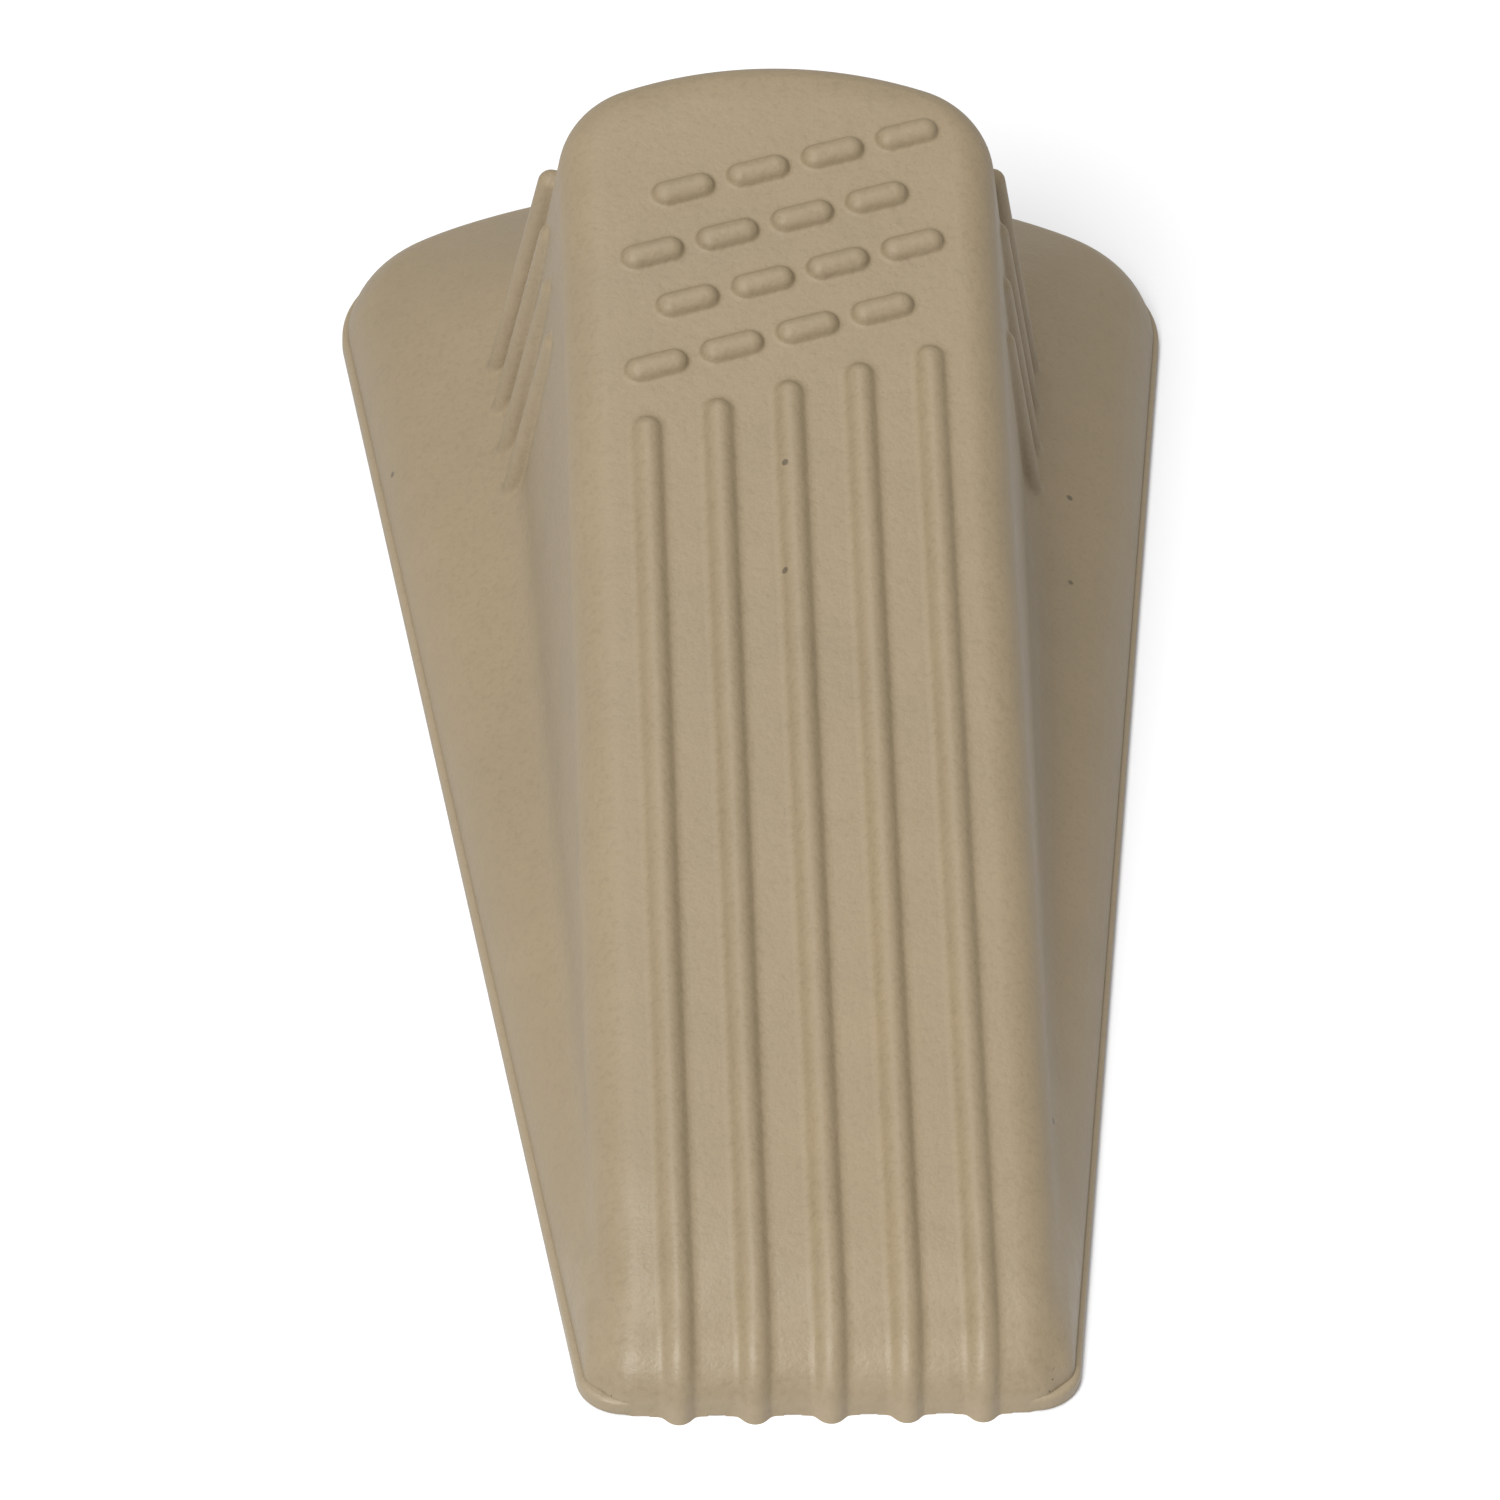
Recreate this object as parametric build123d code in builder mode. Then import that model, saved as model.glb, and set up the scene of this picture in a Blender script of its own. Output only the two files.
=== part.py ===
from build123d import *
import os
from math import acos, atan, atan2, cos, degrees, pi, radians, sin, tan

# A moulded rubber door wedge: a solid wedge on a wide foot, with grip ribs along its slope, short
# upright ribs on its sides and a field of raised grip bars near the heel.
# Frame: +Z up, +Y towards the heel, the toe at -Y, the origin on the floor under the middle of
# the bounding box. Millimetres.

# ---- Overall size ----
length = 120.65
width = 57.15
height = 31.75

# ---- Sole: the full footprint, whose edge shows as a thin lip all round ----
sole_thickness = 1.0
sole_widest = 45.4           # Y of the widest place
sole_heel_radius = 9.7
sole_toe_half = 15.6
sole_toe_radius = 3.0
toe_proud = 0.9              # how far the top ribs reach past the sole at the toe

# ---- Foot: the wide flange round the wedge ----
lip = 0.4                    # how far the sole stands out past the foot
foot_wall_height = 3.0
foot_wall_draft = 6.0        # degrees
foot_shoulder = 2.2          # rounding between the edge wall and the upper face
roof_rise = 7.0              # height of the upper face, from the edge wall to its inner outline
roof_run = 12.7              # how far in that outline lies along the sides
roof_heel_run = 19.5         # and at the heel
roof_toe_in = 26.0           # and at the toe, where the wedge is low
roof_heel_radius = 5.0
inner_toe_radius = 1.0
foot_toe_in = 4.2            # how far the foot stops short of the toe, inside the nose

# ---- Wedge body ----
slope = 0.3                  # rise of the sloping top, per mm of Y
crest = 33.8                 # Y where the sloping top reaches its full height
draft = 0.15                 # lean of the walls, per mm of height
body_half = 13.8             # half-width of the sloping top, before its edges are rounded
body_heel_depth = 7.4        # from the widest place of its heel to the back
body_heel_radius = 5.9
top_rounding = 3.0
nose_start = -48.5           # Y where the slope starts to curve down to the toe
nose_angle = 75.0            # degrees, how steeply the nose meets the sole

# ---- Top ribs ----
rib_radius = 0.9
rib_sunk = 0.22              # how far the middle of a rib lies under the slope
rib_count = 5
rib_pitch = 4.675
rib_start_middle = 9.75      # Y where the middle rib starts
rib_start_lean = 0.283       # how far each rib starts back, per mm towards +X

# ---- Side ribs ----
side_rib_count = 4
side_rib_first = 32.7        # Y of the rib nearest the heel
side_rib_pitch = 4.22
side_rib_drop = 7.3          # from the sloping top down to the rounded end of a rib
side_rib_length = 17.5       # down through the foot, before it is cut away
side_rib_depth = 5.0         # reach into the wedge, past its rounded heel corners
side_rib_sunk = 0.05         # how far a rib's round end is sunk into the wall
side_rib_lean = 0.195        # lean of the ribs, a little more than the wall's
crown_radius = 0.8           # rounding of a rib's outer edges

# ---- Grip bars: short raised bars between the ribs and the heel ----
bar_rows = 4
bar_columns = 4
bar_pitch = 5.0
bar_reach = 1.2              # from the middle of a bar to the centre of a round end
bar_row_pitch = 4.3
bar_stagger = 2.2            # sideways shift between neighbouring rows
bar_first_row = 14.2         # Y of the middle of the first row
bar_proud = 0.8

os.makedirs("parts", exist_ok=True)


def slope_height(y):
    """Height of the sloping top at y."""
    return height - (crest - y) * slope


def heel_arc_radius(heel_x, depth, corner_radius):
    """Radius of the heel curve that runs smoothly into both corner arcs."""
    return (heel_x**2 + depth**2 - corner_radius**2) / (2 * (depth - corner_radius))


def outline(half, widest, heel, corner_radius, toe_half, toe, toe_radius):
    """Draw a foot-shaped plan: straight sides, rounded corners and a curved heel."""
    heel_centre = Vector(half - corner_radius, widest)
    toe_centre = Vector(toe_half - toe_radius, toe + toe_radius)
    arc_radius = heel_arc_radius(heel_centre.X, heel - widest, corner_radius)
    arc_y = heel - arc_radius
    run = heel_centre - toe_centre
    side_angle = atan2(run.Y, run.X) - acos((toe_radius - corner_radius) / run.length)
    heel_angle = atan2(widest - arc_y, heel_centre.X)

    def around(centre, radius, angle):
        return centre + Vector(cos(angle), sin(angle)) * radius

    toe_corner = Vector(toe_centre.X, toe)
    side_low = around(toe_centre, toe_radius, side_angle)
    side_high = around(heel_centre, corner_radius, side_angle)
    heel_corner = around(heel_centre, corner_radius, heel_angle)
    toe_mid = around(toe_centre, toe_radius, (side_angle - pi / 2) / 2)
    corner_mid = around(heel_centre, corner_radius, (side_angle + heel_angle) / 2)
    heel_mid = around(Vector(0, arc_y), arc_radius, (heel_angle + pi / 2) / 2)
    Line((0, toe), toe_corner)
    ThreePointArc(toe_corner, toe_mid, side_low)
    Line(side_low, side_high)
    ThreePointArc(side_high, corner_mid, heel_corner)
    ThreePointArc(heel_corner, heel_mid, (0, heel))
    mirror(about=Plane.YZ)


def foot_outline(side_in, heel_in=None, toe_in=None, corner_radius=None):
    """Draw the footprint moved inwards, by side_in all round unless told otherwise."""
    heel_in = side_in if heel_in is None else heel_in
    toe_in = side_in if toe_in is None else toe_in
    corner_radius = sole_heel_radius - side_in if corner_radius is None else corner_radius
    widest = sole_widest + sole_heel_radius - heel_in - corner_radius
    toe_radius = max(sole_toe_radius - side_in, inner_toe_radius)
    outline(sole_half - side_in, widest, length / 2 - heel_in, corner_radius,
            sole_toe_half - side_in, sole_toe + toe_in, toe_radius)


# ---- Sole ----
sole_toe = toe_proud - length / 2
sole_half = width / 2

with BuildPart() as sole:
    with BuildSketch():
        with BuildLine():
            foot_outline(0)
        make_face()
    extrude(amount=sole_thickness)
sole.part.label = "sole"
export_step(sole.part, "parts/sole.step")

# ---- Wedge body: a drafted block, cut to the side profile, with its upper edges rounded ----
slope_angle = atan(slope)
nose_dir = Vector(0, -cos(radians(nose_angle)), -sin(radians(nose_angle)))
nose_end = -length / 2 + sole_thickness / tan(radians(nose_angle)) + rib_radius / sin(radians(nose_angle))
crest_run = top_rounding * (1 - cos(slope_angle)) / slope
corner_run = top_rounding * tan((pi / 2 + slope_angle - atan(draft)) / 2)
body_back = crest - crest_run + corner_run * cos(slope_angle)
body_top = slope_height(body_back)
body_widest = body_back - body_heel_depth

with BuildPart() as wedge_body:
    with BuildSketch():
        with BuildLine():
            floor_radius = body_heel_radius + draft * body_top
            heel_centre = Vector(body_half - body_heel_radius, body_widest)
            heel_depth = body_heel_depth + draft * body_top
            arc_radius = heel_arc_radius(heel_centre.X, heel_depth, floor_radius)
            arc_centre = Vector(0, body_widest + heel_depth - arc_radius)
            heel_dir = (heel_centre - arc_centre).normalized()
            side_lean = draft * slope
            side_dir = Vector(1, -side_lean).normalized()
            side_high = heel_centre + side_dir * floor_radius
            side_low = side_high - Vector(side_lean, 1) * (side_high.Y + length / 2)
            heel_corner = heel_centre + heel_dir * floor_radius
            corner_mid = heel_centre + (heel_dir + side_dir).normalized() * floor_radius
            heel_mid = arc_centre + (heel_dir + Vector(0, 1)).normalized() * arc_radius
            Line((0, side_low.Y), side_low)
            Line(side_low, side_high)
            ThreePointArc(side_high, corner_mid, heel_corner)
            ThreePointArc(heel_corner, heel_mid, (0, body_widest + heel_depth))
            mirror(about=Plane.YZ)
        make_face()
    extrude(amount=body_top + 1, taper=degrees(atan(draft)))
    with BuildSketch(Plane.YZ):
        with BuildLine():
            peak = Vector(length, slope_height(length))
            nose_top = Vector(nose_start, slope_height(nose_start))
            nose_foot = Vector(nose_end, sole_thickness)
            top_line = Line(peak, nose_top)
            Spline(nose_top, nose_foot, tangents=(top_line % 1, (nose_dir.Y, nose_dir.Z)))
            Polyline(nose_foot, (length, sole_thickness), peak)
        make_face()
    extrude(amount=width, both=True, mode=Mode.INTERSECT)
    upper_faces = wedge_body.faces().filter_by(lambda f: f.normal_at().Z > 0.3)
    upper_edges = upper_faces.edges().filter_by(Axis.X, reverse=True)
    fillet(upper_edges, top_rounding)
    split(bisect_by=Plane.XY.offset(sole_thickness))
wedge_body.part.label = "wedge_body"
export_step(wedge_body.part, "parts/wedge_body.step")

# ---- Foot: edge wall, then an upper face that rises to an inner outline hidden in the wedge ----
foot_top = sole_thickness + foot_wall_height
wall_in = lip + foot_wall_height * tan(radians(foot_wall_draft))

with BuildPart() as foot:
    with BuildSketch(Plane.XY.offset(sole_thickness)):
        with BuildLine():
            foot_outline(lip, toe_in=foot_toe_in)
        make_face()
    with BuildSketch(Plane.XY.offset(foot_top)):
        with BuildLine():
            foot_outline(wall_in, toe_in=foot_toe_in)
        make_face()
    loft(ruled=True)
    with BuildSketch(Plane.XY.offset(foot_top)):
        with BuildLine():
            foot_outline(wall_in, toe_in=foot_toe_in)
        make_face()
    with BuildSketch(Plane.XY.offset(foot_top + roof_rise)):
        with BuildLine():
            foot_outline(wall_in + roof_run, wall_in + roof_heel_run, roof_toe_in, roof_heel_radius)
        make_face()
    loft(ruled=True)
    shoulder = foot.edges().filter_by_position(Axis.Z, foot_top - 0.01, foot_top + 0.01)
    fillet(shoulder, foot_shoulder)
    add(wedge_body.part, mode=Mode.SUBTRACT)
foot.part.label = "foot"
export_step(foot.part, "parts/foot.step")

# ---- Top ribs: half-round, over the slope and the nose down to the floor ----
with BuildPart(mode=Mode.PRIVATE) as base:
    add(sole.part)
    add(wedge_body.part)
    add(foot.part)

for index in range(rib_count):
    rib_x = (index - (rib_count - 1) / 2) * rib_pitch
    start_y = rib_start_middle + rib_start_lean * rib_x
    start = Vector(rib_x, start_y, slope_height(start_y) - rib_sunk)
    with BuildPart() as top_rib:
        with BuildLine() as spine:
            nose_top = Vector(rib_x, nose_start, slope_height(nose_start) - rib_sunk)
            nose_foot = Vector(rib_x, nose_end, sole_thickness)
            run = Line(start, nose_top)
            Spline(nose_top, nose_foot, tangents=(run % 1, nose_dir))
            Line(nose_foot, nose_foot + nose_dir * 3 * sole_thickness)
        with BuildSketch(Plane(start, z_dir=spine.line % 0)):
            Circle(rib_radius)
        sweep()
        with Locations(start):
            Sphere(rib_radius)
        add(base.part, mode=Mode.SUBTRACT)
        split(bisect_by=Plane.XY)
    top_rib.part.label = f"top_rib_{index + 1}"
    export_step(top_rib.part, f"parts/top_rib_{index + 1}.step")

# ---- Side ribs: short upright half-round ribs with rounded tops ----
for side, side_name in ((-1, "left"), (1, "right")):
    for index in range(side_rib_count):
        rib_y = side_rib_first - index * side_rib_pitch
        top_z = slope_height(rib_y) - side_rib_drop
        wall_x = side * (body_half + draft * side_rib_drop - side_rib_sunk)
        out = Vector(side, 0, side_rib_lean)
        with BuildPart() as side_rib:
            with BuildSketch(Plane((wall_x, rib_y, top_z), x_dir=(0, 1, 0), z_dir=out)) as face:
                Circle(rib_radius)
                with Locations((0, -side * side_rib_length / 2)):
                    Rectangle(2 * rib_radius, side_rib_length)
            extrude(amount=-side_rib_depth)
            extrude(face.sketch, amount=rib_radius)
            crown = side_rib.faces().sort_by(Axis((0, 0, 0), out))[-1].edges()
            fillet(crown.filter_by_position(Axis.Z, sole_thickness, height), crown_radius)
            add(base.part, mode=Mode.SUBTRACT)
        side_rib.part.label = f"side_rib_{side_name}_{index + 1}"
        export_step(side_rib.part, f"parts/side_rib_{side_name}_{index + 1}.step")

# ---- Grip bars: short raised bars with round ends, in rows that follow the rib starts ----
row_angle = degrees(atan(rib_start_lean))
top_plane = Plane((0, 0, slope_height(0)), x_dir=(1, 0, 0), z_dir=(0, -slope, 1))
for row in range(bar_rows):
    for column in range(bar_columns):
        index = row * bar_columns + column + 1
        shift = (row % 2 - 0.5) * bar_stagger
        bar_x = (column - (bar_columns - 1) / 2) * bar_pitch + shift
        bar_y = bar_first_row + row * bar_row_pitch + rib_start_lean * bar_x
        with BuildPart() as grip_bar:
            with BuildSketch(top_plane):
                with Locations(Location((bar_x, bar_y / cos(slope_angle)), row_angle)):
                    SlotCenterToCenter(2 * bar_reach, 2 * rib_radius)
            extrude(amount=bar_proud)
            fillet(grip_bar.faces().sort_by(Axis((0, 0, 0), top_plane.z_dir))[-1].edges(), bar_proud - 0.1)
        grip_bar.part.label = f"grip_bar_{index:02d}"
        export_step(grip_bar.part, f"parts/grip_bar_{index:02d}.step")
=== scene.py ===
import bmesh
import bpy
import numpy as np
from math import acos, atan, atan2, cos, pi, radians, sin, sqrt, tan
from mathutils import Matrix, Vector


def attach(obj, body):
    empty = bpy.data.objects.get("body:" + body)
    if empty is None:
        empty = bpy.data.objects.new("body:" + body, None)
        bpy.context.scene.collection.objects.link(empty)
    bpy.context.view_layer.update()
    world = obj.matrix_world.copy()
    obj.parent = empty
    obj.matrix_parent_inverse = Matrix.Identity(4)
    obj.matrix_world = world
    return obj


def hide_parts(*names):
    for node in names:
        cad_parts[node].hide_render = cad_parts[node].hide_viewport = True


# A moulded rubber door wedge. The named solids of the CAD model are rebuilt as fine meshes that lie
# on shared smooth fields, so that every rib, bar and flange runs into its neighbour with the soft
# fillets of one moulding. Fields and guesses are in millimetres, meshes in metres.

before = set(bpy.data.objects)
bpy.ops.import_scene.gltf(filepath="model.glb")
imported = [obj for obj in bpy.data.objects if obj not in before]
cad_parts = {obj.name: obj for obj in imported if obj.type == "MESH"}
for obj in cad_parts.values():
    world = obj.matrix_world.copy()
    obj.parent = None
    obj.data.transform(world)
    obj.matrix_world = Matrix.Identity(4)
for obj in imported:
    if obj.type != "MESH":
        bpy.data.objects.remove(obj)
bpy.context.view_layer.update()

MM = 0.001

# ---- Dimensions, as in the CAD model ----
LENGTH, WIDTH, HEIGHT = 120.65, 57.15, 31.75
SOLE_THICKNESS = 1.0
LIP = 0.4
FOOT_WALL = 3.0
FOOT_DRAFT = radians(6)
FOOT_SHOULDER = 2.3
ROOF_SLOPE_SIDE = 0.55
ROOF_SLOPE_HEEL = 0.42
SLOPE, CREST = 0.3, 33.8
DRAFT = 0.15
BODY_HALF, BODY_HEEL_DEPTH, BODY_HEEL_RADIUS = 13.8, 7.4, 5.9
TOP_ROUNDING = 3.0
NOSE_START, NOSE_ANGLE = -48.5, radians(75)
RIB_RADIUS, RIB_SUNK = 0.9, 0.22
RIB_SPACING, RIB_FRONT = 4.675, 9.75     # between the top ribs; where the middle one starts
ROW_SLANT = 0.283                        # how far the ribs' ends and the bars' rows step back per mm of X
SIDE_RIB_FIRST, SIDE_RIB_SPACING = 32.7, 4.22
SIDE_RIB_DROP, SIDE_RIB_SUNK, SIDE_RIB_LEAN = 7.3, 0.05, 0.195
BAR_REACH, BAR_PROUD = 1.2, 0.8
BAR_FRONT, BAR_ROW_SPACING, BAR_SPACING, BAR_STAGGER = 14.2, 4.3, 5.0, 2.2
SOLE_TOE = 0.9 - LENGTH / 2
SLOPE_ANGLE = atan(SLOPE)
RUN = np.array([-cos(SLOPE_ANGLE), -sin(SLOPE_ANGLE)])   # down the slope, in (Y, Z)
DIVE = np.array([-cos(NOSE_ANGLE), -sin(NOSE_ANGLE)])    # down the end of the nose, in (Y, Z)
SUNK = 0.0015   # how far a skirt lies under the surface that it runs out on
SOLE_INSET = 0.015   # keeps the sole just inside the CAD model's box


def slope_height(y):
    return HEIGHT - (CREST - y) * SLOPE


# ---- Fields: distance to a surface, negative inside ----
def smooth_union(a, b, k):
    """The nearer of two surfaces, with a soft fillet where they meet."""
    return np.minimum(a, b) - k / 6 * np.maximum(1 - np.abs(a - b) / k, 0) ** 3


def round_edge(a, b, r, c=0.0):
    """What is inside both surfaces, with the edge between them rounded to radius r. c is the cosine
    of the angle between their normals."""
    u, v = a + r, b + r
    corner = (u - c * v > 0) & (v - c * u > 0)
    arc = np.sqrt(np.maximum(u**2 + v**2 - 2 * c * u * v, 0) / (1 - c**2)) - r
    return np.where(corner, arc, np.maximum(a, b))


class Plan:
    """A foot-shaped outline: straight sides, a rounded heel and, if toe_radius is given, a toe."""

    def __init__(self, centre, radius, heel, side_normal, toe_centre=None, toe_radius=None):
        self.corner_centre, self.corner_radius, self.side_normal = np.array(centre), radius, np.array(side_normal)
        self.side_run = np.array([-self.side_normal[1], self.side_normal[0]])
        depth = heel - centre[1]
        self.heel_radius = (centre[0] ** 2 + depth**2 - radius**2) / (2 * (depth - radius))
        self.heel_centre_y = heel - self.heel_radius
        to_corner = self.corner_centre - (0, self.heel_centre_y)
        self.hip_normal = to_corner / np.hypot(centre[0], centre[1] - self.heel_centre_y)
        self.toe_centre, self.toe_radius = toe_centre, toe_radius

    def side(self, x, y):
        dx, dy = np.abs(x) - self.corner_centre[0], y - self.corner_centre[1]
        return dx * self.side_normal[0] + dy * self.side_normal[1] - self.corner_radius

    def heel(self, x, y):
        return np.hypot(x, np.maximum(y - self.heel_centre_y, 0)) - self.heel_radius

    def distance(self, x, y):
        x = np.abs(x)
        dx, dy = x - self.corner_centre[0], y - self.corner_centre[1]
        corner = self.hip_normal[0] * (y - self.heel_centre_y) - self.hip_normal[1] * x < 0
        d = np.where(corner, np.hypot(dx, dy) - self.corner_radius, self.heel(x, y))
        d = np.where(dx * self.side_run[0] + dy * self.side_run[1] > 0, d, self.side(x, y))
        if self.toe_centre is not None:
            tx, ty = x - self.toe_centre[0], y - self.toe_centre[1]
            toe = np.where(tx > 0, np.hypot(tx, ty) - self.toe_radius, -ty - self.toe_radius)
            d = np.where(tx * self.side_run[0] + ty * self.side_run[1] < 0, toe, d)
        return d


def sole_plan(half=WIDTH / 2, widest=45.4, radius=9.7, toe_half=15.6, toe=SOLE_TOE, toe_radius=3.0):
    centre = np.array([half - radius, widest])
    toe_centre = np.array([toe_half - toe_radius, toe + toe_radius])
    run = centre - toe_centre
    angle = atan2(run[1], run[0]) - acos((toe_radius - radius) / np.hypot(*run))
    return Plan(centre, radius, LENGTH / 2, (cos(angle), sin(angle)), toe_centre, toe_radius)


def body_plan():
    """The outline of the wedge's walls at the floor; they draw in by DRAFT with height."""
    crest_run = TOP_ROUNDING * (1 - cos(SLOPE_ANGLE)) / SLOPE
    corner_run = TOP_ROUNDING * tan((pi / 2 + SLOPE_ANGLE - atan(DRAFT)) / 2)
    back = CREST - crest_run + corner_run * cos(SLOPE_ANGLE)
    top = slope_height(back)
    widest = back - BODY_HEEL_DEPTH
    lean = DRAFT * SLOPE
    normal = np.array([1, -lean]) / sqrt(1 + lean**2)
    return Plan((BODY_HALF - BODY_HEEL_RADIUS, widest), BODY_HEEL_RADIUS + DRAFT * top,
                back + DRAFT * top, normal), widest


SOLE = sole_plan()
BODY, BODY_WIDEST = body_plan()


def side_profile(end_y, dive, tail, sunk=0.0, count=48):
    """A side profile, in (Y, Z): the slope, the curve of the nose and a straight end."""
    start = np.array([NOSE_START, slope_height(NOSE_START) - sunk])
    end = np.array([end_y, SOLE_THICKNESS])
    chord = np.hypot(*(end - start))
    t = np.linspace(0, 1, count)[:, None]
    curve = ((2 * t**3 - 3 * t**2 + 1) * start + (t**3 - 2 * t**2 + t) * chord * RUN
             + (-2 * t**3 + 3 * t**2) * end + (t**3 - t**2) * chord * dive)
    return np.vstack([start - RUN * 120, curve, end + np.array(tail) * 4])


# The ribs dive to the floor in front of the nose, which ends flush with the sole's edge.
RIB_LINE = side_profile(-LENGTH / 2 + SOLE_THICKNESS / tan(NOSE_ANGLE) + RIB_RADIUS / sin(NOSE_ANGLE), DIVE, DIVE,
                        RIB_SUNK)
PROFILE = side_profile(SOLE_TOE - 0.01, DIVE, (-0.1, -1))


def top_surface(y, z, line=None):
    """Height over the sloping top and the nose, measured square to them, and their way down."""
    line = PROFILE if line is None else line
    shape = np.shape(y)
    y, z = np.ravel(y), np.ravel(z)
    result = (y - line[1, 0]) * RUN[1] - (z - line[1, 1]) * RUN[0]
    down = np.tile(RUN, (len(y), 1))
    near = y < NOSE_START + 8
    py, pz = y[near], z[near]
    best, sign, way = np.full(py.shape, 1e9), np.ones(py.shape), np.tile(RUN, (len(py), 1))
    for a, b in zip(line[:-1], line[1:]):
        e = b - a
        size = np.hypot(*e)
        e = e / size
        along = np.clip((py - a[0]) * e[0] + (pz - a[1]) * e[1], 0, size)
        gap = np.hypot(py - a[0] - along * e[0], pz - a[1] - along * e[1])
        out = (py - a[0]) * e[1] - (pz - a[1]) * e[0]
        closer = gap < best
        best = np.where(closer, gap, best)
        sign = np.where(closer, np.where(out < 0, -1, 1), sign)
        way[closer] = e
    result[near] = best * sign
    down[near] = way
    return result.reshape(shape), down.reshape(*shape, 2)


def top_distance(y, z, line=None):
    return top_surface(y, z, line)[0]


def top_height(y):
    return np.interp(y, PROFILE[::-1, 0], PROFILE[::-1, 1])


def body_wall(p):
    return (BODY.distance(p[..., 0], p[..., 1]) + DRAFT * p[..., 2]) * cos(atan(DRAFT))


def body_field(p):
    top, down = top_surface(p[..., 1], p[..., 2])
    step = np.array([0, 0.01, 0])
    lean = (body_wall(p + step) - body_wall(p - step)) / 0.02
    c = lean * down[..., 1] - sin(atan(DRAFT)) * down[..., 0]
    return round_edge(body_wall(p), top, TOP_ROUNDING, c)


def roof_height(x, y):
    """The foot's upper face: it rises inwards from the rim, with soft hips at the heel corners."""
    wall_in = LIP + FOOT_WALL * tan(FOOT_DRAFT)
    base = SOLE_THICKNESS + FOOT_WALL
    side = base - ROOF_SLOPE_SIDE * (SOLE.side(x, y) + wall_in)
    heel = base - ROOF_SLOPE_HEEL * (SOLE.heel(x, y) + wall_in)
    return smooth_union(side, heel, 5.0)


def foot_field(p):
    x, y, z = p[..., 0], p[..., 1], p[..., 2]
    wall = (SOLE.distance(x, y) + LIP + (z - SOLE_THICKNESS) * tan(FOOT_DRAFT)) * cos(FOOT_DRAFT)
    roof = (z - roof_height(x, y)) / 1.13
    return round_edge(round_edge(wall, roof, FOOT_SHOULDER), top_distance(y, z) + fillet_size(y) + 0.05, 1.5)


def fillet_size(y):
    """The fillet between foot and wedge is smaller at the toe."""
    return np.interp(y, [-58, -38], [0.6, 2.4])


def base_field(p, sunk=0.0):
    foot, fillet = foot_field(p), fillet_size(p[..., 1])
    return smooth_union(body_field(p) + sunk * (1 + 12 * np.clip(4 * (foot - fillet), 0, 1)), foot, fillet)


def gradient(p, field):
    step = 0.01
    return np.stack([(field(p + e) - field(p - e)) / (2 * step) for e in np.eye(3) * step], -1)


def settle(p, field, steps=6, level=False):
    """Move points onto the field's surface, square to it, or within their own level."""
    for _ in range(steps):
        g = gradient(p, field)
        if level:
            g[..., 2] = 0
        move = field(p)[..., None] * g / np.maximum((g**2).sum(-1, keepdims=True), 0.05)
        size = np.linalg.norm(move, axis=-1, keepdims=True)
        p = p - move * np.minimum(1, 1.2 / np.maximum(size, 1e-9))
    return p


# ---- Meshes ----
def make_mesh(name, grid, loop, closed, nodes, sharp=50):
    """A closed mesh from a grid of points, rows round it (loop) and columns across (closed if they
    return to their start), riding on the wedge's one body in place of its CAD nodes."""
    rows, columns = grid.shape[:2]
    index = np.arange(rows * columns).reshape(rows, columns)
    if loop:
        index = np.vstack([index, index[:1]])
    if closed:
        index = np.hstack([index, index[:, :1]])
    quads = np.stack([index[:-1, :-1], index[:-1, 1:], index[1:, 1:], index[1:, :-1]], -1).reshape(-1, 4)
    mesh = bpy.data.meshes.new(name)
    mesh.from_pydata((grid.reshape(-1, 3) * MM).tolist(), [], quads.tolist())
    work = bmesh.new()
    work.from_mesh(mesh)
    bmesh.ops.remove_doubles(work, verts=work.verts, dist=0.0005 * MM)
    bmesh.ops.holes_fill(work, edges=[e for e in work.edges if e.is_boundary])
    bmesh.ops.recalc_face_normals(work, faces=work.faces)
    work.to_mesh(mesh)
    work.free()
    mesh.validate()
    mesh.shade_smooth()
    mesh.set_sharp_from_angle(angle=radians(sharp))
    piece = bpy.data.objects.new("rubber_" + name, mesh)
    bpy.context.scene.collection.objects.link(piece)
    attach(piece, "root")
    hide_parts(*nodes)
    return piece


def mirrored(half):
    """Right half rows, then the same rows on the left in the opposite order."""
    return np.concatenate([half, half[::-1] * (-1, 1, 1)])


def spread(a, b, count, power=1.0):
    """count values from a to b, closer together towards a if power is over 1."""
    return a + (b - a) * np.linspace(0, 1, count) ** power


def reach(origin, heading, z, level):
    """How far from origin, along heading, level(p) turns positive at height z."""
    low, high = np.zeros(len(origin)), np.full(len(origin), 60.0)
    for _ in range(36):
        mid = (low + high) / 2
        p = np.column_stack([origin + heading * mid[:, None], np.broadcast_to(z, mid.shape)])
        inside = level(p) < 0
        low, high = np.where(inside, mid, low), np.where(inside, high, mid)
    return (low + high) / 2


def slices(ys, turns):
    """Upright half-planes square to the centreline at ys, then turning about its last point."""
    origin = np.array([(0, y) for y in ys] + [(0, ys[-1])] * (len(turns) - 1))
    heading = np.array([(1, 0)] * len(ys) + [(cos(t), sin(t)) for t in turns[1:]])
    return origin, heading


def at(origin, heading, s, z):
    """Points in the slices, s out from the centreline and z up."""
    return np.concatenate([origin + heading * s[:, None], z[:, None]], 1)


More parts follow.
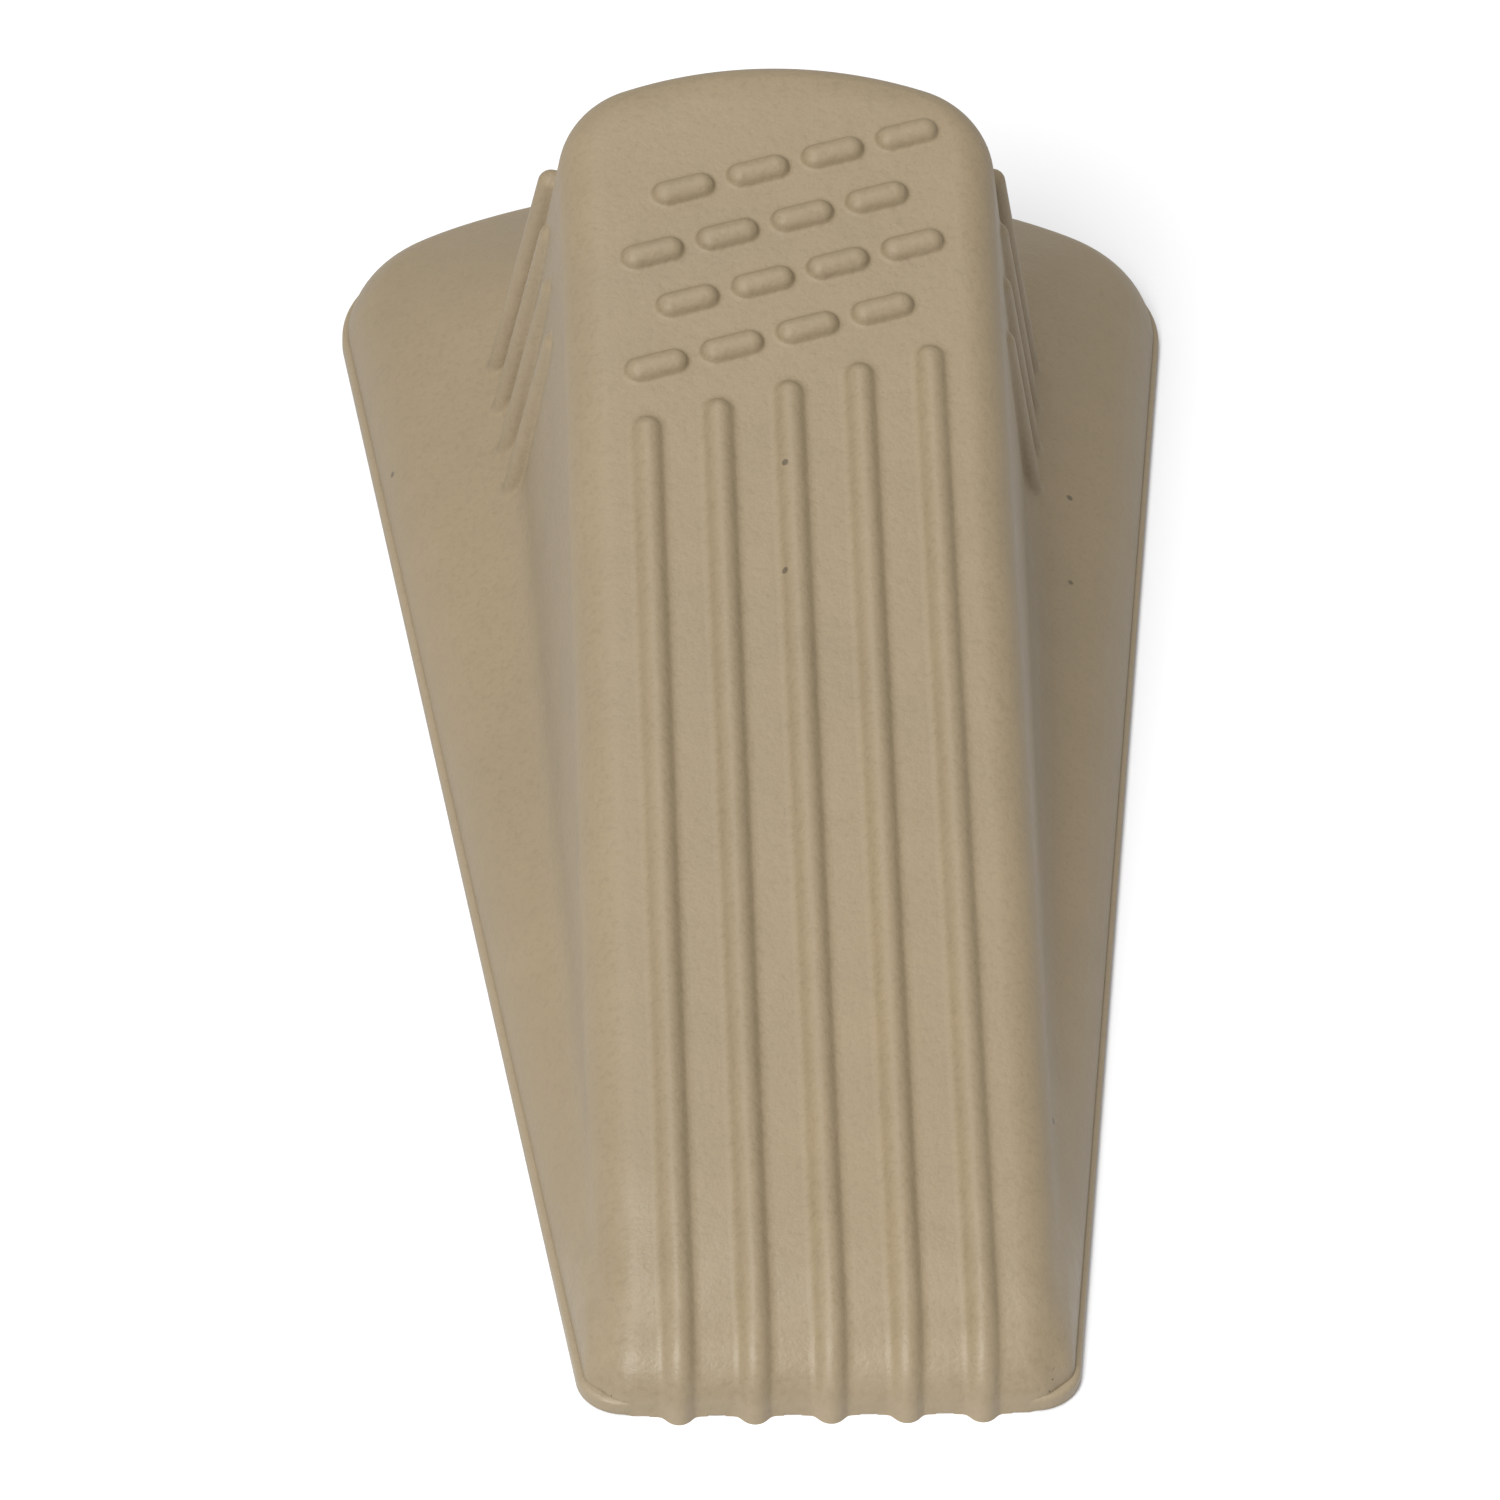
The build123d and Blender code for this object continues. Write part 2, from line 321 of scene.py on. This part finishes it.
# ---- Wedge body ----
def build_body():
    floor = 0.02
    toe = np.interp(floor + 0.02, PROFILE[::-1, 1][:3], PROFILE[::-1, 0][:3])
    ys = np.concatenate([spread(toe, -57.2, 16, 1.6)[:-1], spread(-57.2, -46, 36)[:-1], spread(-46, BODY_WIDEST, 84)])
    origin, heading = slices(ys, np.linspace(0, pi / 2, 64))
    count = len(origin)
    edge = reach(origin, heading, floor, body_wall)
    for _ in range(4):
        h = np.maximum(top_height(origin[:, 1] + heading[:, 1] * edge), floor)
        edge = reach(origin, heading, h, body_wall)
    r = np.minimum(TOP_ROUNDING, np.maximum(h - floor, 0.01) * 0.9)
    columns = []
    for s in spread(0, 1, 13):
        inner = (edge - 1.6 * r) * s
        columns.append(at(origin, heading, inner, top_height(origin[:, 1] + heading[:, 1] * inner)))
    for a in np.linspace(0, pi / 2, 18):
        columns.append(at(origin, heading, edge - r * (1 - sin(a)) + DRAFT * r, h - r * (1 - cos(a))))
    for f in spread(0, 1, 16)[1:]:
        z = (h - r) * (1 - f) + floor * f
        columns.append(at(origin, heading, reach(origin, heading, z, body_wall), z))
    grid = np.stack(columns, 1)
    grid[..., 2] = np.maximum(grid[..., 2], floor)
    lowest = np.zeros(grid.shape[:2], bool)
    lowest[:, -1] = True
    settled = settle(grid, body_field)
    settled[lowest] = settle(grid[lowest], body_field, 8, level=True)
    settled[..., 2] = np.maximum(settled[..., 2], floor)
    settled[lowest, 2] = floor
    settled[:len(ys), 0, 0] = 0
    middle = settled[:, -1] * (0, 1, 1)
    half = np.concatenate([settled, middle[:, None]], 1)
    half[len(ys) - 1:, 0] = half[len(ys) - 1, 0]
    return make_mesh("wedge_body", mirrored(half), False, False, ["wedge_body"])


# ---- Foot: a band round the wedge, which ends on the walls in a fillet ----
def skirt_up_wall(origin, heading, join, lengths):
    """Points on the wedge's section in each slice, at these lengths up from height join: up the
    wall, round its top edge and in over the top."""
    wall = reach(origin, heading, join, body_field)
    s = np.maximum(wall[:, None] - 5.0 * np.linspace(0, 1, 60) ** 3, 0)
    track = np.empty(s.shape + (3,))
    track[..., :2] = origin[:, None] + heading[:, None] * s[..., None]
    low, high = np.repeat(join[:, None], 60, 1), np.full(s.shape, HEIGHT + 1)
    for _ in range(26):
        track[..., 2] = (low + high) / 2
        inside = body_field(track) < 0
        low, high = np.where(inside, track[..., 2], low), np.where(inside, high, track[..., 2])
    track[..., 2] = low
    walked = np.cumsum(np.linalg.norm(np.diff(track, axis=1, prepend=track[:, :1]), axis=-1), axis=1)
    rows = [[np.interp(lengths, walked[i], track[i, :, k]) for k in range(3)] for i in range(len(origin))]
    return np.array(rows).transpose(2, 0, 1)


def build_foot():
    floor = 0.5
    ys = np.concatenate([spread(-55, -48, 24)[:-1], spread(-48, BODY_WIDEST, 110)])
    origin, heading = slices(ys, np.linspace(0, pi / 2, 120))
    corner = np.radians(np.linspace(-66, 0, 34))[:-1]
    origin = np.vstack([np.tile([10.5, ys[0]], (len(corner), 1)), origin])
    heading = np.vstack([np.column_stack([np.cos(corner), np.sin(corner)]), heading])
    rim = reach(origin, heading, 1.0, lambda p: SOLE.distance(p[..., 0], p[..., 1]) + LIP)

    def ceiling(s):
        p = origin + heading * s[:, None]
        return np.minimum(roof_height(p[:, 0], p[:, 1]), top_height(p[:, 1]) - 1.2 * fillet_size(p[:, 1]))

    join = np.full(len(origin), 8.0)
    for _ in range(12):
        wall = reach(origin, heading, join, body_field)
        join = np.maximum((join + ceiling(wall)) / 2, 1.05)
    columns = list(skirt_up_wall(origin, heading, join, spread(3.4, 0.15, 18)))
    width = rim - wall
    shoulder = np.maximum(rim - 2.9, wall + 0.4 * width)
    for f in spread(0.03, 1, 20, 1.3):
        s = wall + (shoulder - wall) * f
        columns.append(at(origin, heading, s, ceiling(s)))
    drop = rim - shoulder
    top = ceiling(shoulder)
    for a in np.linspace(0.15, pi / 2, 12):
        columns.append(at(origin, heading, shoulder + drop * sin(a), top - (top - 1.6) * (1 - cos(a))))
    for z in (1.3, 1.0):
        columns.append(at(origin, heading, rim, np.full(len(rim), z)))
    outer = np.stack(columns, 1)
    sunk = lambda p: base_field(p, SUNK)
    outer = settle(outer, sunk)
    bottom = settle(at(origin, heading, rim, np.full(len(rim), floor)), foot_field, level=True)
    inner = at(origin, heading, wall - 2.0, np.full(len(rim), floor))
    inner_top = outer[:, 0] - np.column_stack([heading * 0.6, np.full(len(rim), 0.4)])
    half = np.concatenate([outer, bottom[:, None], inner[:, None], inner_top[:, None]], 1)
    return make_mesh("foot", mirrored(half), True, True, ["foot"])


# ---- Sole ----
def sole_outline(inset):
    """Right half of the sole's outline from the middle of the toe to the middle of the heel."""
    points, normals = [(0, SOLE.toe_centre[1] - SOLE.toe_radius)], [(0, -1)]
    side_angle = atan2(SOLE.side_normal[1], SOLE.side_normal[0])
    heel_angle = atan2(SOLE.hip_normal[1], SOLE.hip_normal[0])
    for a in np.linspace(-pi / 2, side_angle, 16):
        normals.append((cos(a), sin(a)))
        points.append(SOLE.toe_centre + SOLE.toe_radius * np.array(normals[-1]))
    start, end = points[-1], SOLE.corner_centre + SOLE.corner_radius * SOLE.side_normal
    for f in np.linspace(0, 1, 120)[1:-1]:
        points.append(start + (end - start) * f)
        normals.append(SOLE.side_normal)
    for a in np.linspace(side_angle, heel_angle, 40)[:-1]:
        normals.append((cos(a), sin(a)))
        points.append(SOLE.corner_centre + SOLE.corner_radius * np.array(normals[-1]))
    for a in np.linspace(heel_angle, pi / 2, 40):
        normals.append((cos(a), sin(a)))
        points.append(np.array([0, SOLE.heel_centre_y]) + SOLE.heel_radius * np.array(normals[-1]))
    return np.array(points) - np.array(normals) * inset


def build_sole():
    edge = [(0.12, 0.0), (0.035, 0.035), (0.0, 0.12), (0.0, 0.45), (0.0, 0.7)]
    edge += [(0.3 * (1 - cos(a)), 0.7 + 0.3 * sin(a)) for a in np.linspace(0, pi / 2, 7)[1:]]
    edge += [(1.2, 1.0)]
    columns = []
    for inset, z in edge:
        line = sole_outline(inset + SOLE_INSET)
        columns.append(np.column_stack([line, np.full(len(line), z)]))
    half = np.stack(columns, 1)
    half = np.concatenate([half[:, :1] * (0, 1, 1), half, half[:, -1:] * (0, 1, 1)], 1)
    return make_mesh("sole", mirrored(half), False, False, ["sole"], 75)


# ---- Raised beads: the ribs and grip bars ----
def bead_rows(path, across, out, ahead, flat_end):
    """Origins and headings of half-planes down one side of a path, round its end and back."""
    turn = np.linspace(0, pi, 25)[1:-1]
    end_turn = [] if flat_end else turn
    origin, heading, up = [], [], []
    for i in range(len(path)):
        origin.append(path[i])
        heading.append(across[i])
        up.append(out[i])
    for a in end_turn:
        origin.append(path[-1])
        heading.append(across[-1] * cos(a) + ahead[-1] * sin(a))
        up.append(out[-1])
    for i in reversed(range(len(path))):
        origin.append(path[i])
        heading.append(-across[i])
        up.append(out[i])
    for a in turn:
        origin.append(path[0])
        heading.append(-across[0] * cos(a) - ahead[0] * sin(a))
        up.append(out[0])
    return np.array(origin), np.array(heading), np.array(up)


def make_bead(name, path, across, out, ahead, field, base, tall, fillet, toe_fillet=0.45, flat_end=False):
    """A half-round bead along a path on the surface, with skirts that run out on that surface. Its
    ends are round, or its last one is cut off flat at the floor."""
    origin, heading, up = bead_rows(path, across, out, ahead, flat_end)
    tall = np.broadcast_to(tall, len(path))
    n = len(path)
    turn = len(origin) - 2 * n
    end_turn = 0 if flat_end else turn // 2
    crown = np.concatenate([tall, np.full(end_turn, tall[-1]), tall[::-1], np.full(turn - end_turn, tall[0])])[:, None]
    columns = []
    for a in np.linspace(0, pi / 2, 11):
        columns.append(origin + heading * RIB_RADIUS * sin(a) + up * crown * cos(a))
    toe = np.interp(origin[:, 1], [-60, -52], [toe_fillet, fillet])[:, None]
    for s in spread(0.1, 1.2, 8):
        columns.append(origin + heading * (RIB_RADIUS + s * toe))

    def joined(p):
        bead, k = field(p), np.interp(p[..., 1], [-60, -52], [toe_fillet, fillet])
        return smooth_union(base(p) + SUNK * (1 + 12 * np.clip(3 * bead / k - 2.5, 0, 1)), bead, k)

    grid = settle(np.stack(columns, 1), joined, 8)
    low = grid[:, -1] - up * 0.45
    middle = origin - up * 0.6
    grid = np.concatenate([grid, low[:, None], middle[:, None]], 1)
    if flat_end:
        dive = ahead[-1]
        grid[n - 1:n + 1] -= dive * grid[n - 1:n + 1, :, 2:] / dive[2]
    return make_mesh(name, grid, True, False, [name])


def build_top_rib(index):
    rib_x = (index - 2) * RIB_SPACING
    start_y = RIB_FRONT + ROW_SLANT * rib_x
    start = np.array([start_y, slope_height(start_y) - RIB_SUNK])
    flat_run = np.hypot(*(RIB_LINE[1] - start))
    points = [start + RUN * d for d in spread(0, flat_run, 84)[:-1]]
    points += list(RIB_LINE[1:-1:2])
    end = RIB_LINE[-2]
    points += [end + DIVE * d for d in (0.25, 0.5, 0.65, 0.7)]
    line = np.array(points)
    step = np.gradient(line, axis=0)
    step /= np.linalg.norm(step, axis=1, keepdims=True)
    n = len(line)
    path = np.column_stack([np.full(n, rib_x), line])
    ahead = np.column_stack([np.zeros(n), step])
    out = np.column_stack([np.zeros(n), step[:, 1], -step[:, 0]])
    across = np.tile([1.0, 0, 0], (n, 1))

    def field(p):
        y, z = p[..., 1], p[..., 2]
        past = np.maximum((start[0] - y) * RUN[0] + (start[1] - z) * RUN[1], 0)
        return np.sqrt((p[..., 0] - rib_x) ** 2 + top_distance(y, z, RIB_LINE) ** 2 + past**2) - RIB_RADIUS

    return make_bead(f"top_rib_{index + 1}", path, across, out, ahead, field, body_field, 0.9, 0.75, toe_fillet=0.75,
                     flat_end=True)


def build_side_rib(side, side_name, index):
    rib_y = SIDE_RIB_FIRST - index * SIDE_RIB_SPACING
    lean = SIDE_RIB_LEAN
    top = np.array([side * (BODY_HALF + DRAFT * SIDE_RIB_DROP - SIDE_RIB_SUNK), rib_y,
                    slope_height(rib_y) - SIDE_RIB_DROP])
    out_dir = np.array([side, 0, lean]) / sqrt(1 + lean**2)
    up_dir = np.array([-side * lean, 0, 1]) / sqrt(1 + lean**2)

    def field(p):
        q = p - top
        out = np.maximum(q @ out_dir, 0)
        over = np.maximum(q @ up_dir, 0)
        return np.sqrt(q[..., 1] ** 2 + out**2 + over**2) - RIB_RADIUS

    origin, heading = np.array([[0.0, rib_y]]), np.array([[1.0, 0.0]])
    join = 9.0
    for _ in range(4):
        wall = reach(origin, heading, np.array([join]), body_wall)[0]
        join = float(roof_height(wall, rib_y))
    heights = spread(top[2], join, 46)
    walls = reach(np.repeat(origin, 46, 0), np.repeat(heading, 46, 0), heights, body_wall)
    guess = [(side * w, rib_y, h) for w, h in zip(walls, heights)]
    for s in spread(0.2, 3.4, 17):
        guess.append((side * (wall + s), rib_y, float(roof_height(wall + s, rib_y))))
    path = settle(np.array(guess), base_field)
    n = len(path)
    out = gradient(path, base_field)
    out[:, 1] = 0
    out /= np.linalg.norm(out, axis=1, keepdims=True)
    ahead = np.gradient(path, axis=0)
    ahead[:, 1] = 0
    ahead /= np.linalg.norm(ahead, axis=1, keepdims=True)
    across = np.tile([0.0, 1.0, 0], (n, 1))
    probe = np.linspace(0, 4, 201)
    inside = field(path[:, None] + out[:, None] * probe[:, None]) < 0
    tall = np.maximum((probe * inside).max(1), 0.02)
    return make_bead(f"side_rib_{side_name}_{index + 1}", path, across, out, ahead, field, base_field, tall, 0.4)


def build_grip_bar(row, column):
    half, tall = BAR_REACH, BAR_PROUD
    x = (column - 1.5) * BAR_SPACING + (row % 2 - 0.5) * BAR_STAGGER
    y = BAR_FRONT + row * BAR_ROW_SPACING + ROW_SLANT * x
    centre = np.array([x, y, slope_height(y)])
    out_dir = np.array([0, -SLOPE, 1]) / sqrt(1 + SLOPE**2)
    along = np.array([1, ROW_SLANT, ROW_SLANT * SLOPE])
    along /= np.linalg.norm(along)
    over = np.cross(out_dir, along)

    def field(p):
        q = p - centre
        past = np.maximum(np.abs(q @ along) - half, 0)
        return np.sqrt(past**2 + (q @ over) ** 2 + (q @ out_dir * RIB_RADIUS / tall) ** 2) - RIB_RADIUS

    path = np.array([centre + along * s for s in spread(-half, half, 12)])
    tile = lambda v: np.tile(v, (len(path), 1))
    name = f"grip_bar_{row * 4 + column + 1:02d}"
    return make_bead(name, path, tile(-over), tile(out_dir), tile(along), field, body_field, tall, 0.5)


pieces = [build_body(), build_foot(), build_sole()]
pieces += [build_top_rib(i) for i in range(5)]
for side, side_name in ((-1, "left"), (1, "right")):
    pieces += [build_side_rib(side, side_name, i) for i in range(4)]
pieces += [build_grip_bar(row, column) for row in range(4) for column in range(4)]


# ---- Material ----
class Nodes:
    """Short forms for building a node tree."""

    def __init__(self, tree):
        self.tree = tree

    def add(self, kind, settings=None, **inputs):
        node = self.tree.nodes.new(kind)
        for key, value in (settings or {}).items():
            setattr(node, key, value)
        for key, value in inputs.items():
            self.put(node.inputs[key.replace("_", " ")], value)
        return node

    def put(self, socket, value):
        if isinstance(value, bpy.types.NodeSocket):
            self.tree.links.new(value, socket)
        else:
            socket.default_value = value

    def noise(self, scale, detail=3.0, roughness=0.55, distortion=0.0):
        node = self.add("ShaderNodeTexNoise", Vector=self.where, Scale=scale, Detail=detail, Roughness=roughness,
                        Distortion=distortion)
        return node.outputs["Fac"]

    def cells(self, scale, feature="F1"):
        return self.add("ShaderNodeTexVoronoi", {"feature": feature}, Vector=self.where, Scale=scale)

    def math(self, kind, a, b=0.0, clamp=False):
        node = self.add("ShaderNodeMath", {"operation": kind, "use_clamp": clamp})
        self.put(node.inputs[0], a)
        self.put(node.inputs[1], b)
        return node.outputs[0]

    def span(self, value, low, high, start=0.0, end=1.0, smooth=False):
        """Map low..high to start..end, clamped."""
        node = self.add("ShaderNodeMapRange", {"interpolation_type": "SMOOTHSTEP" if smooth else "LINEAR"})
        for key, v in zip(("Value", "From Min", "From Max", "To Min", "To Max"), (value, low, high, start, end)):
            self.put(node.inputs[key], v)
        return node.outputs["Result"]

    def blend(self, amount, a, b, mode="MIX"):
        node = self.add("ShaderNodeMix", {"data_type": "RGBA", "blend_type": mode})
        self.put(node.inputs["Factor"], amount)
        self.put(node.inputs[6], a)
        self.put(node.inputs[7], b)
        return node.outputs[2]

    def bump(self, height, distance, below=None, strength=1.0):
        node = self.add("ShaderNodeBump", Height=height, Distance=distance, Strength=strength)
        if below is not None:
            self.put(node.inputs["Normal"], below)
        return node.outputs["Normal"]


def shade(colour, factor):
    return tuple(c * factor for c in colour) + (1,)


def rubber():
    """Matt tan rubber: a fine moulded grain, faint mottling, a painted pale highlight along the lip, a painted sheen
    on the nose and a few dark flecks.
    """
    material = bpy.data.materials.new("moulded_rubber")
    material.use_nodes = True
    shader = material.node_tree.nodes["Principled BSDF"]
    n = Nodes(material.node_tree)
    n.where = n.add("ShaderNodeTexCoord").outputs["Object"]
    place = n.add("ShaderNodeSeparateXYZ", Vector=n.where)
    along, high = place.outputs["Y"], place.outputs["Z"]
    base_tan = (0.222, 0.174, 0.106)

    clouds = n.noise(38, 4, 0.5, 0.4)
    mottle = n.noise(260, 4, 0.6)
    grain = n.noise(2300, 3, 0.6)
    grit = n.noise(5200, 2, 0.6)

    colour = n.blend(n.span(clouds, 0.32, 0.68), shade(base_tan, 0.955), shade((0.224, 0.173, 0.104), 1.03))
    colour = n.blend(n.span(mottle, 0.3, 0.7), colour, n.blend(1.0, colour, (1.055, 1.05, 1.06, 1), "MULTIPLY"))
    colour = n.blend(n.span(grain, 0.34, 0.5, 0.55, 0.0), colour,
                     n.blend(1.0, colour, (0.86, 0.85, 0.83, 1), "MULTIPLY"))
    colour = n.blend(n.span(grit, 0.56, 0.72, 0.0, 0.5), colour,
                     n.blend(1.0, colour, (1.13, 1.13, 1.15, 1), "MULTIPLY"))

    # Painted highlight: a pale band along the lip, near the floor. Painted sheen: a lighter colour on the nose where
    # it meets the floor, which is also a little glossier there.
    lip_highlight = n.span(n.math("ADD", high, n.math("MULTIPLY", n.math("SUBTRACT", mottle, 0.5), 0.0012)), 0.0009, 0.0016,
                 0.25, 0.0)
    # painted highlight: the lowest millimetre or so, the lip, is mixed towards a paler tan
    colour = n.blend(lip_highlight, colour, (0.31, 0.255, 0.18, 1))
    # Mask for the nose: it lowers roughness there (a real polish) and lightens the colour (a painted sheen).
    nose_polish_and_sheen = n.span(n.math("ADD", along, n.math("MULTIPLY", n.math("SUBTRACT", clouds, 0.5), 0.02)), -0.044, -0.056,
                  smooth=True)
    # painted sheen: the nose is mixed towards a lighter tan in patches
    colour = n.blend(n.math("MULTIPLY", nose_polish_and_sheen, n.span(mottle, 0.4, 0.65, 0.0, 0.2)), colour, (0.28, 0.228, 0.153, 1))

    # Sparse dark flecks in the rubber, and a very few larger brown ones.
    fleck = n.cells(175)
    chosen = n.add("ShaderNodeSeparateColor", Color=fleck.outputs["Color"])
    small = n.math("MULTIPLY", n.span(fleck.outputs["Distance"], 0.035, 0.05, 1.0, 0.0),
                   n.math("GREATER_THAN", chosen.outputs["Red"], 0.45))
    colour = n.blend(n.math("MULTIPLY", small, 0.75), colour, (0.062, 0.048, 0.033, 1))
    blot = n.cells(72)
    chosen = n.add("ShaderNodeSeparateColor", Color=blot.outputs["Color"])
    large = n.math("MULTIPLY", n.span(blot.outputs["Distance"], 0.022, 0.034, 1.0, 0.0),
                   n.math("GREATER_THAN", chosen.outputs["Green"], 0.3))
    colour = n.blend(n.math("MULTIPLY", large, 0.7), colour, (0.075, 0.05, 0.026, 1))

    roughness = n.math("ADD", n.span(grain, 0.3, 0.7, 0.5, 0.6), n.span(clouds, 0.3, 0.7, -0.02, 0.05))
    roughness = n.math("SUBTRACT", roughness, n.math("MULTIPLY", nose_polish_and_sheen, 0.1))

    normal = n.bump(n.noise(95, 3, 0.5), 0.00016)
    normal = n.bump(n.noise(640, 3, 0.6), 0.00006, normal)
    normal = n.bump(grain, 0.000035, normal)
    normal = n.bump(grit, 0.000012, normal)
    n.put(shader.inputs["Base Color"], colour)
    n.put(shader.inputs["Roughness"], roughness)
    n.put(shader.inputs["Normal"], normal)
    shader.inputs["Specular IOR Level"].default_value = 0.4
    return material


material = rubber()
for piece in pieces:
    piece.data.materials.append(material)

# ---- Stage ----
floor_mesh = bpy.data.meshes.new("floor")
floor_mesh.from_pydata([(-3, -3, 0), (3, -3, 0), (3, 3, 0), (-3, 3, 0)], [], [(0, 1, 2, 3)])
floor = bpy.data.objects.new("floor", floor_mesh)
bpy.context.scene.collection.objects.link(floor)
floor_material = bpy.data.materials.new("pale_floor")
floor_material.use_nodes = True
floor_material.node_tree.nodes["Principled BSDF"].inputs["Base Color"].default_value = (0.80, 0.80, 0.81, 1)
floor_material.node_tree.nodes["Principled BSDF"].inputs["Roughness"].default_value = 0.9
floor.data.materials.append(floor_material)

world = bpy.data.worlds.new("studio")
world.use_nodes = True
world.node_tree.nodes["Background"].inputs["Color"].default_value = (1, 1, 1, 1)
world.node_tree.nodes["Background"].inputs["Strength"].default_value = 0.52
bpy.context.scene.world = world


def area_light(name, place, target, size, power, colour=(1, 1, 1)):
    data = bpy.data.lights.new(name, "AREA")
    data.shape = "DISK"
    data.size = size
    data.energy = power
    data.color = colour
    light = bpy.data.objects.new(name, data)
    light.location = place
    light.rotation_euler = (Vector(target) - Vector(place)).to_track_quat("-Z", "Y").to_euler()
    bpy.context.scene.collection.objects.link(light)
    return light


area_light("key", (-0.235, -0.43, 0.46), (0, -0.01, 0.01), 0.34, 4.2)
area_light("overhead", (-0.11, 0.08, 0.90), (0, 0, 0.01), 0.25, 3.6)

# ---- Camera ----
AZIMUTH, ELEVATION, ROLL = radians(-4.36), radians(41.16), radians(2.557)
back = Vector((sin(AZIMUTH) * cos(ELEVATION), -cos(AZIMUTH) * cos(ELEVATION), sin(ELEVATION)))
level = Vector((cos(AZIMUTH), sin(AZIMUTH), 0))
upright = back.cross(level)
right = level * cos(ROLL) + upright * sin(ROLL)
up = upright * cos(ROLL) - level * sin(ROLL)
aim = Vector((0, 0, 0.012)) - right * 0.002586 - up * 0.00747
camera_data = bpy.data.cameras.new("camera")
camera_data.sensor_width = 36
camera_data.lens = 219.92
camera_data.clip_start = 0.01
camera = bpy.data.objects.new("camera", camera_data)
camera.matrix_world = Matrix.Translation(aim + back * 0.599) @ Matrix((right, up, back)).transposed().to_4x4()
bpy.context.scene.collection.objects.link(camera)
bpy.context.scene.camera = camera
bpy.context.scene.view_settings.view_transform = "Standard"
